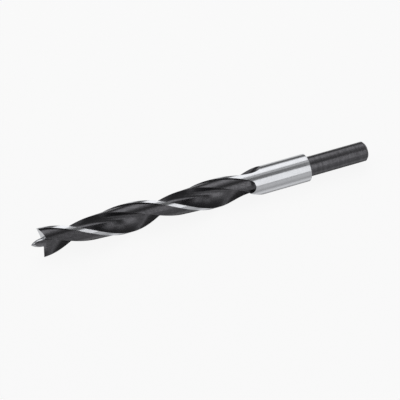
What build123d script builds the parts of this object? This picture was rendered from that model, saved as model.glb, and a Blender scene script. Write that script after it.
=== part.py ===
from build123d import *
from math import acos, cos, degrees, radians, sin, sqrt, tan
import os

# A brad point drill bit for wood: one piece of steel with two right-hand flutes.
# It lies on its side along X, point towards -X, and rests on Z = 0.
# Lengths are in millimetres and angles in degrees.

# Overall form
body_diameter = 14.0          # across the margins, and the plain body behind the flutes
shank_diameter = 10.0
overall_length = 175.0        # tip of the spike to the end of the shank
shank_length = 32.5
shank_chamfer = 1.0
shoulder_chamfer = 0.25

# Point: a round-nosed centre spike between two lips with a spur at each outer end
spur_setback = 4.5            # the spurs stand this far behind the tip of the spike
lip_slope = 13.5              # the lips fall back from the spurs towards the spike
lip_relief = 9.5              # the ground flank falls away behind each lip
spike_tip_angle = 48.0        # half angle at the tip of the spike
spike_side_angle = 6.0        # half angle where the spike meets the lips
spike_base_diameter = 4.3
spike_base_setback = 5.6

# Helix
lead = 90.0                   # axial length of one turn
spur_angle = 45.0             # direction of the first spur, from +Y towards +Z
flute_count = 2

# Land: a ground margin at full diameter, then a cleared back down to the heel
margin_width = 1.8            # measured around the body
clearance_start_drop = 0.65   # step down behind the margin
heel_drop = 1.4               # the heel lies this far under full diameter
heel_angle = 69.0             # behind the leading edge
heel_overcut = 7.0            # the clearing cut runs on past the heel

# Flute: a flat rake face that grazes the web, a round valley and a wall up to the heel
web_thickness = 2.2
valley_reach = 1.5            # the flat runs this far past its nearest point to the axis
valley_radius = 2.4

# Ends of the cuts, measured from the tip of the spike
flute_end = 118.9
flute_runout_radius = 35.0    # curve on which the cutter climbs out
clearance_end = 112.8
clearance_floor_runout = 2.9  # the floor climbs to full diameter over this length
clearance_side_runout = 4.4   # and the sides round in over this one
margin_side_corner = 16.0     # by this angle beside the margin
heel_side_corner = 48.0       # and by this one beside the heel
exit_height = 0.2             # the last section of a cut stands this far above the body

# Sections along the helix
section_step = 5.0
last_step = 0.6               # the sections close up to this where a run-out begins
step_growth = 1.6
runout_steps = 8
overrun = 1.5                 # cuts start and stop this far outside the metal

body_radius = body_diameter / 2
shank_radius = shank_diameter / 2
web_radius = web_thickness / 2
shoulder = overall_length - shank_length
margin_angle = degrees(margin_width / body_radius)
heel_radius = body_radius - heel_drop
clearance_start_radius = body_radius - clearance_start_drop


def polar(radius, angle):
    return Vector(radius * cos(radians(angle)), radius * sin(radians(angle)))


def leading_angle(distance):
    # direction of the first leading edge at a distance from the tip
    return spur_angle + (distance - spur_setback) * 360 / lead


def blank():
    # turned bar: body, shoulder and reduced shank
    profile = Polyline(
        (0, 0),
        (body_radius, 0),
        (body_radius, shoulder - shoulder_chamfer),
        (body_radius - shoulder_chamfer, shoulder),
        (shank_radius, shoulder),
        (shank_radius, overall_length - shank_chamfer),
        (shank_radius - shank_chamfer, overall_length),
        (0, overall_length),
        close=True,
    )
    return revolve(Plane.XZ * make_face(profile), Axis.Z)


def flute_section(lift):
    # the leading edge is at angle 0, and the cutter lifts out square to the rake face
    outward = polar(1, -degrees(acos(web_radius / body_radius)))
    inward = outward.rotate(Axis.Z, -90)
    valley = outward * web_radius + inward * valley_reach
    edge = polar(body_radius, 0)
    heel = polar(heel_radius, heel_angle - 180)
    past_edge = edge + (edge - valley).normalized() * overrun
    past_heel = heel + (heel - valley).normalized() * body_radius
    away = outward * body_diameter
    corners = [valley, past_edge, past_edge + away, past_heel + away, past_heel]
    face = make_face(Polyline(*[corner + outward * lift for corner in corners], close=True))
    bottom = face.vertices().sort_by_distance(valley + outward * lift)[0]
    return fillet(bottom, valley_radius)


def clearance_section(rise, margin_side, heel_side):
    # the cleared back, lifted by rise and narrowed by an angle at each side
    first = margin_angle + margin_side
    last = heel_angle + heel_overcut - heel_side
    start = polar(clearance_start_radius + rise, first)
    stop = polar(heel_radius + rise, last)
    middle = polar((clearance_start_radius + heel_radius) / 2 + rise, (first + last) / 2)
    back = ThreePointArc(start, middle, stop)
    cover = Polyline(stop, polar(body_diameter, last), polar(body_diameter, first), start)
    return make_face([back, cover])


def helical_cut(sections):
    # sections is a list of pairs: distance from the tip, and the section there
    wires = []
    for distance, section in sections:
        placed = Pos(0, 0, distance) * Rot(0, 0, leading_angle(distance)) * section
        wires.append(placed.face().outer_wire())
    return Solid.make_loft(wires)


def straight_steps(start, stop):
    # distances from start up to stop, which is left out, with steps that shrink towards it
    distances = []
    step = last_step
    distance = stop - step
    while distance > start + step / 2:
        distances.append(distance)
        step = min(step * step_growth, section_step)
        distance -= step
    return [start] + distances[::-1]


def flute_cut():
    # full depth up to the run-out, where the floor climbs on a circular curve
    depth = body_radius - web_radius + exit_height
    climb = sqrt(flute_runout_radius**2 - (flute_runout_radius - depth) ** 2)
    start = flute_end - climb
    full = flute_section(0)
    sections = [(distance, full) for distance in straight_steps(-overrun, start)]
    for k in range(runout_steps + 1):
        run = climb * k / runout_steps
        lift = flute_runout_radius - sqrt(flute_runout_radius**2 - run**2)
        sections.append((start + run, flute_section(lift)))
    return helical_cut(sections)


def rounding(run):
    # quarter circle from 0 to 1: flat at the start and steep at the end
    return 1 - sqrt(1 - min(max(run, 0), 1) ** 2)


def clearance_cut():
    start = clearance_end - clearance_side_runout
    full = clearance_section(0, 0, 0)
    sections = [(distance, full) for distance in straight_steps(-overrun, start)]
    height = heel_drop + exit_height
    for k in range(runout_steps + 1):
        distance = start + clearance_side_runout * k / runout_steps
        side = rounding(k / runout_steps)
        floor = rounding(1 - (clearance_end - distance) / clearance_floor_runout)
        narrower = (margin_side_corner * floor, heel_side_corner * side)
        sections.append((distance, clearance_section(height * floor, *narrower)))
    return helical_cut(sections)


def spike():
    # round-nosed centre point, with enough length behind it to run into the web
    base_radius = spike_base_diameter / 2
    nose = Spline(
        (0, 0),
        (base_radius, spike_base_setback),
        tangents=[
            (sin(radians(spike_tip_angle)), cos(radians(spike_tip_angle))),
            (sin(radians(spike_side_angle)), cos(radians(spike_side_angle))),
        ],
    )
    back = spike_base_setback + body_radius
    stem = Polyline((base_radius, spike_base_setback), (base_radius, back), (0, back), (0, 0))
    return revolve(Plane.XZ * make_face([nose, stem]), Axis.Z)


def flank_cut():
    # everything in front of one lip and the flank behind it, except the spike
    reach = body_diameter
    drop = reach * tan(radians(lip_slope))
    centre = spur_setback + body_radius * tan(radians(lip_slope))
    profile = Polyline((0, centre), (reach, centre - drop), (reach, -reach), (0, -reach), close=True)
    relief = Vector(0, cos(radians(lip_relief)), sin(radians(lip_relief)))
    face = Pos(*(relief * -reach)) * (Plane.XZ * make_face(profile))
    cut = extrude(face, amount=2 * reach, dir=relief)
    return Rot(0, 0, spur_angle) * (cut - spike())


def drill_bit():
    bit = blank()
    flute = flute_cut()
    clearance = clearance_cut()
    flank = flank_cut()
    for k in range(flute_count):
        turn = Rot(0, 0, 360 * k / flute_count)
        bit = bit - turn * flute
        bit = bit - turn * clearance
        bit = bit - turn * flank
    return bit


lying = Plane(origin=(-overall_length / 2, 0, body_radius), x_dir=(0, 1, 0), z_dir=(1, 0, 0))

os.makedirs("parts", exist_ok=True)
bit = lying.location * drill_bit()
export_step(bit, "parts/drill_bit.step")
print("drill bit", round(bit.volume), "mm3", bit.bounding_box())
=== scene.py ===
import math

import bmesh
import bpy
from mathutils import Matrix, Vector


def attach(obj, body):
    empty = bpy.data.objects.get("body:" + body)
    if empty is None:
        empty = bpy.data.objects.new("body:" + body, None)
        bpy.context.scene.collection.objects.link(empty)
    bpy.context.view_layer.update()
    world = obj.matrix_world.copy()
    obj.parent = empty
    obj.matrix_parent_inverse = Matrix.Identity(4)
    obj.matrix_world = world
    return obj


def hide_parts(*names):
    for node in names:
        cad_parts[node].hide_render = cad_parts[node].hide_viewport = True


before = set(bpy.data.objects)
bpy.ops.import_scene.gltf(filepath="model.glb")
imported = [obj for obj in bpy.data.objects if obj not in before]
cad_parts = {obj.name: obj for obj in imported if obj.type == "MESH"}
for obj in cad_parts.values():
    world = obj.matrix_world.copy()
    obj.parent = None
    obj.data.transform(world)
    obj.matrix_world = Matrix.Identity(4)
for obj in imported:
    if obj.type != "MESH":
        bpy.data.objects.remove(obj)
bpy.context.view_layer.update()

# The bit is drawn standing on its point, in millimetres: x and y across it, s from the
# tip of the spike to the end of the shank. toRow lays it down along X, in metres.
bit = {
    "length": 175.0,
    "bodyRadius": 7.0,
    "shankRadius": 5.0,
    "shoulder": 142.5,
    "spurSetback": 4.5,
    "spurAngle": 45.0,
    "lead": 90.0,
    "segments": 192,       # around the lathe work
    "seam": 0.37,          # of a segment, so that no edge lies in a plane of the point
    "cutStep": 0.6,        # along the flutes and the cleared backs
    "overrun": 1.5,        # cuts start this far in front of the bit
}


def toRow(x, y, s):
    return Vector(((s - bit["length"] / 2) / 1000, x / 1000, (y + bit["bodyRadius"]) / 1000))


def polar(radius, degrees):
    return Vector((radius * math.cos(math.radians(degrees)), radius * math.sin(math.radians(degrees))))


def heading(vector):
    return math.atan2(vector.y, vector.x)


def arc(centre, radius, startAngle, turn, parts):
    # points on a circle, with both angles in radians
    return [centre + polar(radius, math.degrees(startAngle + turn * k / parts)) for k in range(parts + 1)]


def leadingAngle(s):
    return bit["spurAngle"] + (s - bit["spurSetback"]) * 360 / bit["lead"]


def spread(start, stop, step):
    count = max(1, math.ceil(abs(stop - start) / step))
    return [start + (stop - start) * k / count for k in range(count + 1)]


def makeObject(name, mesh):
    obj = bpy.data.objects.new(name, mesh)
    bpy.context.scene.collection.objects.link(obj)
    return obj


def finishMesh(name, bm, finishes):
    bmesh.ops.recalc_face_normals(bm, faces=bm.faces)
    mesh = bpy.data.meshes.new(name)
    bm.to_mesh(mesh)
    bm.free()
    for finish in finishes:
        mesh.materials.append(finish)
    return makeObject(name, mesh)


def meshFromRings(name, rings, finish):
    # rings are closed loops of (x, y, s), all of one length, joined by triangles
    bm = bmesh.new()
    loops = [[bm.verts.new(toRow(*place)) for place in ring] for ring in rings]
    count = len(rings[0])
    for near, far in zip(loops, loops[1:]):
        for k in range(count):
            a, b, c, d = near[k], near[(k + 1) % count], far[(k + 1) % count], far[k]
            if (a.co - c.co).length < (b.co - d.co).length:
                bm.faces.new((a, b, c))
                bm.faces.new((a, c, d))
            else:
                bm.faces.new((a, b, d))
                bm.faces.new((b, c, d))
    ends = [bm.faces.new(loops[0][::-1]), bm.faces.new(loops[-1])]
    bmesh.ops.triangulate(bm, faces=ends)
    return finishMesh(name, bm, [finish])


def latheMesh(name, profile, finishes):
    # profile is a list of (radius, s, finish of the band that follows), from axis to axis
    segments = bit["segments"]
    around = [(k + bit["seam"]) * 360 / segments for k in range(segments)]
    bm = bmesh.new()
    rows = []
    for radius, s, _ in profile:
        if radius == 0:
            rows.append([bm.verts.new(toRow(0, 0, s))] * segments)
        else:
            rows.append([bm.verts.new(toRow(*polar(radius, angle), s)) for angle in around])
    for row, (near, far) in enumerate(zip(rows, rows[1:])):
        for k in range(segments):
            corners = [near[k], near[(k + 1) % segments], far[(k + 1) % segments], far[k]]
            corners = [v for n, v in enumerate(corners) if v not in corners[:n]]
            face = bm.faces.new(corners)
            face.material_index = profile[row][2]
    return finishMesh(name, bm, finishes)


def cutAway(target, cutter):
    # takes the cutter out of the target, and the cutter's finish stays on what it cut
    cut = target.modifiers.new("cut", "BOOLEAN")
    cut.operation = "DIFFERENCE"
    cut.object = cutter
    cut.solver = "EXACT"
    cut.material_mode = "TRANSFER"
    depsgraph = bpy.context.evaluated_depsgraph_get()
    mesh = bpy.data.meshes.new_from_object(target.evaluated_get(depsgraph))
    target.modifiers.clear()
    old = target.data
    target.data = mesh
    bpy.data.meshes.remove(old)


def remove(obj):
    mesh = obj.data
    bpy.data.objects.remove(obj)
    bpy.data.meshes.remove(mesh)


# Finishes

noiseSpan = (0.3, 0.7)      # most of a noise pattern lies between these


def newFinish(name):
    mat = bpy.data.materials.new(name)
    mat.use_nodes = True
    return mat, mat.node_tree, mat.node_tree.nodes["Principled BSDF"]


def fill(tree, socket, value):
    if isinstance(value, bpy.types.NodeSocket):
        tree.links.new(value, socket)
    else:
        socket.default_value = value


def put(tree, kind, inputs=None, **options):
    # adds a node, sets its options, and fills or links its inputs
    node = tree.nodes.new(kind)
    for option, value in options.items():
        setattr(node, option, value)
    for name, value in (inputs or {}).items():
        fill(tree, node.inputs[name], value)
    return node


def combine(tree, operation, first, second):
    return put(tree, "ShaderNodeMath", {0: first, 1: second}, operation=operation).outputs[0]


def objectPlace(tree):
    return put(tree, "ShaderNodeTexCoord").outputs["Object"]


def placeFromAxis(tree):
    # where a point is, in millimetres from the axis of the bit
    axis = (0, 0, bit["bodyRadius"] / 1000)
    inputs = {0: objectPlace(tree), 1: axis}
    fromAxis = put(tree, "ShaderNodeVectorMath", inputs, operation="SUBTRACT").outputs[0]
    return put(tree, "ShaderNodeVectorMath", {0: fromAxis, "Scale": 1000}, operation="SCALE").outputs[0]


def unwound(tree, place):
    # turned back along the helix, so that what runs along X follows the flutes
    along = put(tree, "ShaderNodeSeparateXYZ", {0: place}).outputs["X"]
    angle = combine(tree, "MULTIPLY", along, -2 * math.pi / bit["lead"])
    inputs = {"Vector": place, "Angle": angle}
    return put(tree, "ShaderNodeVectorRotate", inputs, rotation_type="X_AXIS").outputs[0]


def noise(tree, place, pattern):
    # perMm is how many waves fit in a millimetre along X, Y and Z
    inputs = {0: place, 1: pattern["perMm"]}
    scaled = put(tree, "ShaderNodeVectorMath", inputs, operation="MULTIPLY").outputs[0]
    inputs = {"Vector": scaled, "Scale": 1.0, "Detail": pattern["detail"]}
    return put(tree, "ShaderNodeTexNoise", inputs).outputs["Fac"]


def layered(tree, layers):
    # adds up pairs of a noise and the pattern that gives its share
    mixed = None
    for layer, pattern in layers:
        part = combine(tree, "MULTIPLY", layer, pattern["share"])
        mixed = part if mixed is None else combine(tree, "ADD", mixed, part)
    return mixed


def remap(tree, value, low, high, span=noiseSpan):
    inputs = {"Value": value, "From Min": span[0], "From Max": span[1], "To Min": low, "To Max": high}
    return put(tree, "ShaderNodeMapRange", inputs).outputs[0]


def blend(tree, share, first, second):
    node = put(tree, "ShaderNodeMix", data_type="RGBA")
    for socket, value in ((node.inputs[0], share), (node.inputs[6], first), (node.inputs[7], second)):
        fill(tree, socket, value)
    return node.outputs[2]


def grey(level, tint=(1, 1, 1)):
    return (level * tint[0], level * tint[1], level * tint[2], 1)


def roundedNormal(tree, radius):
    # a hair of rounding on the sharp edges, so that they catch the light
    return put(tree, "ShaderNodeBevel", {"Radius": radius / 1000}, samples=6).outputs[0]


def edgeShare(tree, normal, start, full):
    # 0 on the flats and 1 on the sharp edges, from how far the rounded normal leans over
    true = put(tree, "ShaderNodeNewGeometry").outputs["True Normal"]
    inputs = {0: normal, 1: true}
    facing = put(tree, "ShaderNodeVectorMath", inputs, operation="DOT_PRODUCT").outputs["Value"]
    return remap(tree, facing, 0.0, 1.0, (start, full))


def drawOut(tree, shader, share):
    # gloss drawn out square to lines that run round the axis
    tangent = put(tree, "ShaderNodeTangent", direction_type="RADIAL", axis="X").outputs[0]
    tree.links.new(tangent, shader.inputs["Tangent"])
    shader.inputs["Anisotropic"].default_value = share
    shader.inputs["Anisotropic Rotation"].default_value = 0.25      # a quarter turn


def dressSteel(tree, shader, colour, roughness, height, depth, normal):
    inputs = {"Height": height, "Distance": depth / 1000, "Strength": 1.0, "Normal": normal}
    bump = put(tree, "ShaderNodeBump", inputs).outputs[0]
    for name, socket in (("Base Color", colour), ("Roughness", roughness), ("Normal", bump)):
        tree.links.new(socket, shader.inputs[name])
    shader.inputs["Metallic"].default_value = 1


groundLook = {
    "bright": 0.625,
    "dull": 0.575,
    "tint": (0.975, 0.99, 1.03),
    "lines": {"perMm": (4.5, 0.3, 0.3), "detail": 4, "share": 0.55},    # grinding lines round the axis
    "clouds": {"perMm": (0.30, 0.45, 0.45), "detail": 2, "share": 0.45},
    "smooth": 0.205,
    "rough": 0.235,
    "drawnOut": 0.8,        # how far the lines draw the gloss out along the bit
    "lineDepth": 0.001,     # mm
    "edgeRadius": 0.06,
}


def makeGroundSteel(name):
    look = groundLook
    mat, tree, shader = newFinish(name)
    place = placeFromAxis(tree)
    line = noise(tree, place, look["lines"])
    cloud = noise(tree, place, look["clouds"])
    mixed = layered(tree, [(line, look["lines"]), (cloud, look["clouds"])])
    dull, bright = grey(look["dull"], look["tint"]), grey(look["bright"], look["tint"])
    colour = blend(tree, remap(tree, mixed, 0, 1), dull, bright)
    roughness = remap(tree, mixed, look["rough"], look["smooth"])
    normal = roundedNormal(tree, look["edgeRadius"])
    dressSteel(tree, shader, colour, roughness, line, look["lineDepth"], normal)
    drawOut(tree, shader, look["drawnOut"])
    return mat


blackLook = {
    "dark": 0.058,
    "light": 0.130,
    "worn": 0.40,
    "tint": (0.99, 0.975, 1.045),
    "mottles": {"perMm": (0.9, 0.9, 0.9), "detail": 4, "share": 0.38},
    "specks": {"perMm": (2.6, 2.6, 2.6), "detail": 2, "share": 0.26},
    # tool marks left under the black, along the flutes and round the shank
    "fluteMarks": {"perMm": (0.06, 2.2, 2.2), "detail": 3, "share": 0.36},
    "shankMarks": {"perMm": (0.95, 0.10, 0.10), "detail": 3, "share": 0.36},
    "fluteWear": 0.8,
    "shankWear": 0.5,
    "wearStart": 0.998,     # cosine of the lean at which an edge starts to be worn
    "wearFull": 0.93,
    "smooth": 0.21,
    "rough": 0.36,
    "markDepth": 0.018,
    "edgeRadius": 0.08,
}


def makeBlackSteel(name, marks, wound, wear):
    look = blackLook
    mat, tree, shader = newFinish(name)
    place = placeFromAxis(tree)
    mottle = noise(tree, place, look["mottles"])
    speck = noise(tree, place, look["specks"])
    mark = noise(tree, unwound(tree, place) if wound else place, marks)
    mixed = layered(tree, [(mottle, look["mottles"]), (mark, marks), (speck, look["specks"])])
    dark, light = grey(look["dark"], look["tint"]), grey(look["light"], look["tint"])
    colour = blend(tree, remap(tree, mixed, 0, 1), dark, light)
    roughness = remap(tree, mixed, look["rough"], look["smooth"])
    normal = roundedNormal(tree, look["edgeRadius"])
    edges = edgeShare(tree, normal, look["wearStart"], look["wearFull"])
    rubbed = combine(tree, "MULTIPLY", edges, remap(tree, speck, 0.0, wear))
    colour = blend(tree, rubbed, colour, grey(look["worn"]))
    dressSteel(tree, shader, colour, roughness, mixed, look["markDepth"], normal)
    return mat


groundFinish = makeGroundSteel("groundSteel")
blackFinish = makeBlackSteel("blackFlutes", blackLook["fluteMarks"], True, blackLook["fluteWear"])
shankFinish = makeBlackSteel("blackShank", blackLook["shankMarks"], False, blackLook["shankWear"])

print("finishes made")


# Turned blank: body cylinder, shoulder, shank

turning = {
    "bandLength": 1.2,
    "shoulderChamfer": 0.25,
    "shoulderRounding": 0.09,
    "rootRounding": 0.35,
    "shankChamfer": 1.0,
    "shankRounding": 0.15,
    "endRounding": 0.15,
    "roundingParts": 6,
}


def rounded(before, corner, after, radius):
    # points on a circle of this radius that touches both sides of the corner
    before, corner, after = Vector(before), Vector(corner), Vector(after)
    toBefore, toAfter = (before - corner).normalized(), (after - corner).normalized()
    half = toBefore.angle(toAfter) / 2
    centre = corner + (toBefore + toAfter).normalized() * radius / math.sin(half)
    start = corner + toBefore * radius / math.tan(half) - centre
    stop = corner + toAfter * radius / math.tan(half) - centre
    parts = turning["roundingParts"]
    return [centre + start.slerp(stop, k / parts).normalized() * radius for k in range(parts + 1)]


def turnBlank():
    body, shank = bit["bodyRadius"], bit["shankRadius"]
    shoulder, end = bit["shoulder"], bit["length"]
    edge, taper = turning["shoulderChamfer"], turning["shankChamfer"]
    band = turning["bandLength"]
    bright, dark = 0, 1
    corners = [
        (body, 0), (body, shoulder - edge), (body - edge, shoulder), (shank, shoulder),
        (shank, end - taper), (shank - taper, end), (0, end),
    ]
    radii = [
        turning["shoulderRounding"], turning["shoulderRounding"], turning["rootRounding"],
        turning["shankRounding"], turning["endRounding"],
    ]
    bends = [rounded(*corners[k:k + 3], radius) for k, radius in enumerate(radii)]
    bodyEdge, shoulderEdge, root, shankEdge, endEdge = bends
    profile = [(0, 0, bright)]
    profile += [(body, s, bright) for s in spread(0, bodyEdge[0].y, band)[:-1]]
    profile += [(*place, bright) for place in bodyEdge + shoulderEdge[:-1]]
    profile += [(*shoulderEdge[-1], dark)]
    profile += [(*place, dark) for place in root[:-1]]
    profile += [(shank, s, dark) for s in spread(root[-1].y, shankEdge[0].y, band)[:-1]]
    profile += [(*place, dark) for place in shankEdge + endEdge]
    profile += [(0, end, dark)]
    return latheMesh("drillBit", profile, [groundFinish, shankFinish])


drillBit = turnBlank()
print("blank turned,", len(drillBit.data.polygons), "faces")


# Flutes: flat rake face, round valley, wall up to the heel

flute = {
    "web": 2.2,
    "valleyReach": 1.5,
    "valleyRadius": 2.4,
    "heelAngle": 69.0,
    "heelRadius": 5.6,
    "end": 118.9,
    "runoutRadius": 35.0,
    "exitHeight": 0.2,
    "flatParts": 14,
    "valleyParts": 16,
    "wallParts": 14,
}


def fluteOutline(lift):
    # the leading edge is at angle 0, and the cutter lifts out square to the rake face
    body, webRadius, valleyRadius = bit["bodyRadius"], flute["web"] / 2, flute["valleyRadius"]
    flatParts, wallParts = flute["flatParts"], flute["wallParts"]
    outward = polar(1, -math.degrees(math.acos(webRadius / body)))
    inward = Vector((outward.y, -outward.x))
    valley = outward * webRadius + inward * flute["valleyReach"]
    edge, heel = polar(body, 0), polar(flute["heelRadius"], flute["heelAngle"] - 180)
    toEdge, toHeel = (edge - valley).normalized(), (heel - valley).normalized()
    pastEdge = edge + toEdge * bit["overrun"]
    pastHeel = heel + toHeel * body
    half = toEdge.angle(toHeel) / 2
    tangent = valleyRadius / math.tan(half)
    centre = valley + (toEdge + toHeel).normalized() * valleyRadius / math.sin(half)
    flatEnd, wallStart = valley + toEdge * tangent, valley + toHeel * tangent
    startAngle = heading(flatEnd - centre)
    turn = heading(wallStart - centre) - startAngle
    turn = (turn + math.pi) % (2 * math.pi) - math.pi
    points = [pastEdge.lerp(flatEnd, k / flatParts) for k in range(flatParts)]
    points += arc(centre, valleyRadius, startAngle, turn, flute["valleyParts"])
    points += [wallStart.lerp(pastHeel, (k + 1) / wallParts) for k in range(wallParts)]
    away = outward * body * 2
    points += [pastHeel + away, pastEdge + away]
    return [place + outward * lift for place in points]


def placed(outline, s, turn):
    spin = Matrix.Rotation(math.radians(leadingAngle(s) + turn), 2)
    return [(*(spin @ place), s) for place in outline]


def cutFlute(turn):
    # full depth up to the run-out, where the floor climbs on a circular curve
    depth = bit["bodyRadius"] - flute["web"] / 2 + flute["exitHeight"]
    radius = flute["runoutRadius"]
    climb = math.sqrt(radius**2 - (radius - depth) ** 2)
    start = flute["end"] - climb
    rings = []
    for s in spread(-bit["overrun"], flute["end"], bit["cutStep"]):
        run = max(s - start, 0)
        lift = radius - math.sqrt(radius**2 - run**2)
        rings.append(placed(fluteOutline(lift), s, turn))
    return meshFromRings("fluteCutter", rings, blackFinish)


# Cleared backs: the land behind the margin, which ends in a rounded step

clearedBack = {
    "marginWidth": 1.8,    # measured around the body
    "startRadius": 6.35,
    "endRadius": 5.6,
    "endAngle": 76.0,
    "end": 112.8,
    "floorRunout": 2.9,
    "sideRunout": 4.4,
    "marginCorner": 16.0,
    "heelCorner": 48.0,
    "rise": 1.6,
    "wallHeight": 1.6,     # fine faces on the walls up to here, past full diameter
    "parts": 22,
    "runoutParts": 24,
}


def rounding(run):
    # quarter circle from 0 to 1: flat at the start and steep at the end
    return 1 - math.sqrt(1 - min(max(run, 0), 1) ** 2)


def circleCentre(a, b, c):
    aa, bb, cc = a.length_squared, b.length_squared, c.length_squared
    d = 2 * (a.x * (b.y - c.y) + b.x * (c.y - a.y) + c.x * (a.y - b.y))
    x = (aa * (b.y - c.y) + bb * (c.y - a.y) + cc * (a.y - b.y)) / d
    y = (aa * (c.x - b.x) + bb * (a.x - c.x) + cc * (b.x - a.x)) / d
    return Vector((x, y))


def backOutline(rise, marginSide, heelSide):
    startRadius, endRadius = clearedBack["startRadius"], clearedBack["endRadius"]
    first = math.degrees(clearedBack["marginWidth"] / bit["bodyRadius"]) + marginSide
    last = clearedBack["endAngle"] - heelSide
    start = polar(startRadius + rise, first)
    stop = polar(endRadius + rise, last)
    middle = polar((startRadius + endRadius) / 2 + rise, (first + last) / 2)
    centre = circleCentre(start, middle, stop)
    startAngle = heading(start - centre)
    turn = heading(stop - centre) - startAngle
    floor = arc(centre, (start - centre).length, startAngle, turn, clearedBack["parts"])
    height, outer = rise + clearedBack["wallHeight"], bit["bodyRadius"] * 2
    heelWall = [polar(endRadius + height, last), polar(outer, last)]
    marginWall = [polar(outer, first), polar(startRadius + height, first)]
    return floor + heelWall + marginWall


def cutBack(turn):
    end, floorRunout, sideRunout = clearedBack["end"], clearedBack["floorRunout"], clearedBack["sideRunout"]
    parts = clearedBack["runoutParts"]
    stations = spread(-bit["overrun"], end - sideRunout, bit["cutStep"])
    stations += [end - sideRunout * math.cos(math.radians(90 * k / parts)) for k in range(1, parts + 1)]
    rings = []
    for s in stations:
        side = rounding((s - end + sideRunout) / sideRunout)
        floor = rounding(1 - (end - s) / floorRunout)
        marginSide, heelSide = clearedBack["marginCorner"] * floor, clearedBack["heelCorner"] * side
        outline = backOutline(clearedBack["rise"] * floor, marginSide, heelSide)
        rings.append(placed(outline, s, turn))
    return meshFromRings("backCutter", rings, blackFinish)


# Point: spike between two ground flanks

point = {
    "lipSlope": 13.5,
    "lipRelief": 9.5,
    "spikeTipAngle": 48.0,
    "spikeSideAngle": 6.0,
    "spikeRadius": 2.15,
    "spikeSetback": 5.6,
    "spikeParts": 28,
}


def spikeProfile():
    # a smooth curve from the tip to the lips, with its slope given at both ends
    first, last = Vector((0, 0)), Vector((point["spikeRadius"], point["spikeSetback"]))
    chord = (last - first).length
    leave = polar(chord, 90 - point["spikeTipAngle"])
    arrive = polar(chord, 90 - point["spikeSideAngle"])
    profile = [(0, 0, 0)]
    for k in range(1, point["spikeParts"] + 1):
        t = k / point["spikeParts"]
        place = leave * (t**3 - 2 * t**2 + t) + last * (3 * t**2 - 2 * t**3) + arrive * (t**3 - t**2)
        profile.append((place.x, place.y, 0))
    back = point["spikeSetback"] + bit["bodyRadius"]
    return profile + [(point["spikeRadius"], back, 0), (0, back, 0)]


def cutFront():
    # everything in front of the two flanks, apart from the spike
    reach = bit["bodyRadius"] * 2
    slope = math.tan(math.radians(point["lipSlope"]))
    relief = math.tan(math.radians(point["lipRelief"]))
    centre = bit["spurSetback"] + bit["bodyRadius"] * slope
    deep, shallow = centre + reach * relief, centre - reach * relief
    spin = Matrix.Rotation(math.radians(bit["spurAngle"]), 3, "Z")
    bm = bmesh.new()

    def corner(x, y, s):
        return bm.verts.new(toRow(*(spin @ Vector((x, y, s)))))

    middle = corner(0, 0, centre)
    far, near = {}, {}
    for side in (1, -1):
        across = reach * side
        far[side] = [corner(0, across, deep), corner(across, across, deep - reach * slope)]
        near[side] = [corner(across, -across, shallow - reach * slope), corner(0, -across, shallow)]
    base = {(x, y): corner(x * reach, y * reach, -reach) for x in (1, -1) for y in (1, -1)}
    bm.faces.new([base[1, 1], base[1, -1], base[-1, -1], base[-1, 1]])
    for side in (1, -1):
        bm.faces.new([middle, *far[side], *near[side]])
        bm.faces.new([middle, far[side][0], near[-side][1]])
        bm.faces.new([base[side, side], base[side, -side], near[side][0], far[side][1]])
        bm.faces.new([base[-side, side], base[side, side], *far[side][::-1], *near[-side][::-1]])
    cutter = finishMesh("frontCutter", bm, [groundFinish])
    spike = latheMesh("spike", spikeProfile(), [groundFinish])
    cutAway(cutter, spike)
    remove(spike)
    return cutter


cutters = [cutFlute(0), cutFlute(180), cutBack(0), cutBack(180), cutFront()]
for cutter in cutters:
    cutAway(drillBit, cutter)
    print(cutter.name, "cut,", len(drillBit.data.polygons), "faces")
    remove(cutter)

cleaning = {
    "weld": 2e-7,          # m
    "sliver": 1e-7,        # m
    "sharpAngle": 22,
}


def cleanUp(obj):
    # welds what the cuts left double, and shades smooth between the sharp edges
    bm = bmesh.new()
    bm.from_mesh(obj.data)
    bmesh.ops.remove_doubles(bm, verts=bm.verts, dist=cleaning["weld"])
    bmesh.ops.dissolve_degenerate(bm, edges=bm.edges, dist=cleaning["sliver"])
    print("cleaned, open edges", sum(not edge.is_manifold for edge in bm.edges))
    bm.to_mesh(obj.data)
    bm.free()
    obj.data.polygons.foreach_set("use_smooth", [True] * len(obj.data.polygons))
    obj.data.set_sharp_from_angle(angle=math.radians(cleaning["sharpAngle"]))


cleanUp(drillBit)

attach(drillBit, "root")
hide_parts("drill_bit")


# Floor, lamps and camera

studio = {
    "floorHalf": 3.0,
    "floorColour": 0.80,
    "whiteSeen": 0.90,      # share of plain white in what the camera sees of the floor
    # and in what the steel mirrors of it: by millimetres behind the axis of the bit
    # The steel's mirror of the floor is painted reflection: white laid in strips, with a painted dark strip
    # under the bit and a bright painted strip just in front of it.
    "paintedReflectionStrips": (
        (-45, 0.40), (-25, 0.33), (-17, 0.12), (-14, 0.15), (-11, 0.60), (-8.5, 0.92),
        (-6.5, 0.50), (-4.5, 0.0), (4.5, 0.0), (6.5, 0.70), (20, 0.65),
    ),
    "worldLow": 0.17,
    "worldHigh": 0.14,
    "worldSpan": (0.05, 0.45),      # heights, as a share of straight up, between which it changes
    "lampDistance": 1.0,
}

lamps = {
    # elevation is from the front over the top, in degrees; across, along and shift are in metres
    "front": {"elevation": 31, "across": 0.88, "along": 0.54, "shift": 0.34, "level": 1.0},
    "frontHalo": {"elevation": 30, "across": 1.15, "along": 0.90, "shift": 0.44, "level": 0.35},
    "rear": {"elevation": 122, "across": 0.73, "along": 0.90, "shift": 0.14, "level": 1.0},
    "rearHalo": {"elevation": 117, "across": 1.30, "along": 1.10, "shift": 0.14, "level": 0.42},
    "top": {"elevation": 78, "across": 0.58, "along": 0.38, "shift": 0.74, "level": 0.8},
    "pointSide": {"elevation": 100, "across": 1.3, "along": 0.9, "shift": -1.05, "level": 0.9},
}


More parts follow.
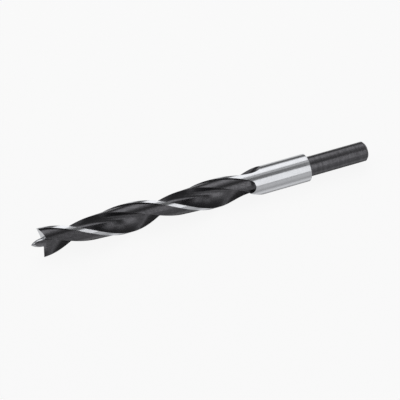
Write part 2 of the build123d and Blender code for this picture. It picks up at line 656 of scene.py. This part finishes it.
def paintedReflectionStrips(tree):
    # painted reflection: strips of plain white for glossy rays, by Y, dark under the bit and bright just in
    # front of it
    stops = studio["paintedReflectionStrips"]
    first, last = stops[0][0], stops[-1][0]
    behind = put(tree, "ShaderNodeSeparateXYZ", {0: objectPlace(tree)}).outputs["Y"]
    ramp = put(tree, "ShaderNodeValToRGB", {0: remap(tree, behind, 0, 1, (first / 1000, last / 1000))})
    elements = ramp.color_ramp.elements
    while len(elements) < len(stops):
        elements.new(0.5)
    for element, (place, share) in zip(elements, stops):
        element.position = (place - first) / (last - first)
        element.color = grey(share)
    return ramp.outputs["Color"]


def makeFloor():
    half = studio["floorHalf"]
    corners = [(-half, -half, 0), (half, -half, 0), (half, half, 0), (-half, half, 0)]
    mesh = bpy.data.meshes.new("floor")
    mesh.from_pydata(corners, [], [(0, 1, 2, 3)])
    mat, tree, shader = newFinish("floorWhite")
    tree.nodes.remove(shader)
    lit = put(tree, "ShaderNodeBsdfDiffuse", {"Color": grey(studio["floorColour"])}).outputs[0]
    white = put(tree, "ShaderNodeEmission", {"Color": grey(1), "Strength": 1.0}).outputs[0]
    path = put(tree, "ShaderNodeLightPath").outputs
    through = combine(tree, "MAXIMUM", path["Is Camera Ray"], path["Is Transmission Ray"])
    seen = combine(tree, "MULTIPLY", through, studio["whiteSeen"])
    # painted reflection: the floor's white, as the steel mirrors it, comes in the painted strips
    paintedReflection = combine(tree, "MULTIPLY", path["Is Glossy Ray"], paintedReflectionStrips(tree))
    share = combine(tree, "MAXIMUM", seen, paintedReflection)
    mixed = put(tree, "ShaderNodeMixShader", {0: share, 1: lit, 2: white}).outputs[0]
    tree.links.new(mixed, tree.nodes["Material Output"].inputs["Surface"])
    mesh.materials.append(mat)
    return makeObject("floor", mesh)


def makeWorld():
    world = bpy.data.worlds.new("studio")
    bpy.context.scene.world = world
    world.use_nodes = True
    tree = world.node_tree
    direction = put(tree, "ShaderNodeTexCoord").outputs["Generated"]
    upward = put(tree, "ShaderNodeSeparateXYZ", {0: direction}).outputs["Z"]
    share = remap(tree, upward, 0, 1, studio["worldSpan"])
    colour = blend(tree, share, grey(studio["worldLow"]), grey(studio["worldHigh"]))
    tree.links.new(colour, tree.nodes["Background"].inputs["Color"])


def setUp(name, data, right, up, back, place):
    # adds a lamp or camera at a place, looking away from back
    obj = makeObject(name, data)
    obj.matrix_world = Matrix([(right[n], up[n], back[n], place[n]) for n in range(3)] + [(0, 0, 0, 1)])
    return obj


def placeLamp(name, settings):
    turn = math.radians(settings["elevation"])
    away = Vector((0, -math.cos(turn), math.sin(turn)))
    along = Vector((1, 0, 0))
    data = bpy.data.lights.new(name, "AREA")
    data.shape = "RECTANGLE"
    data.size, data.size_y = settings["along"], settings["across"]
    data.energy = settings["level"] * math.pi * data.size * data.size_y     # level 1 is plain white
    place = away * studio["lampDistance"] + along * settings["shift"]
    lamp = setUp(name, data, along, away.cross(along), away, place)
    lamp.visible_camera = False


floor = makeFloor()
makeWorld()
for name, settings in lamps.items():
    placeLamp(name + "Lamp", settings)
print("floor, world and lamps placed")

view = {
    "azimuth": 22.5,       # of the camera's right from +X towards -Y
    "elevation": 43.3,
    "lens": 135.0,
    "sensor": 36,
    "clip": (0.05, 20),
    "tipInView": (-79.13, 21.25, 702.83),   # right, down and forward of the camera, in mm
}


def placeCamera():
    a, e = math.radians(view["azimuth"]), math.radians(view["elevation"])
    right = Vector((math.cos(a), -math.sin(a), 0))
    up = Vector((math.sin(a) * math.sin(e), math.cos(a) * math.sin(e), math.cos(e)))
    forward = Vector((math.sin(a) * math.cos(e), math.cos(a) * math.cos(e), -math.sin(e)))
    acrossView, downView, deepView = (part / 1000 for part in view["tipInView"])
    data = bpy.data.cameras.new("camera")
    data.lens = view["lens"]
    data.sensor_width = view["sensor"]
    data.clip_start, data.clip_end = view["clip"]
    place = toRow(0, 0, 0) - right * acrossView + up * downView - forward * deepView
    bpy.context.scene.camera = setUp("camera", data, right, up, -forward, place)


placeCamera()
print("camera placed")

bpy.context.scene.view_settings.view_transform = "Standard"
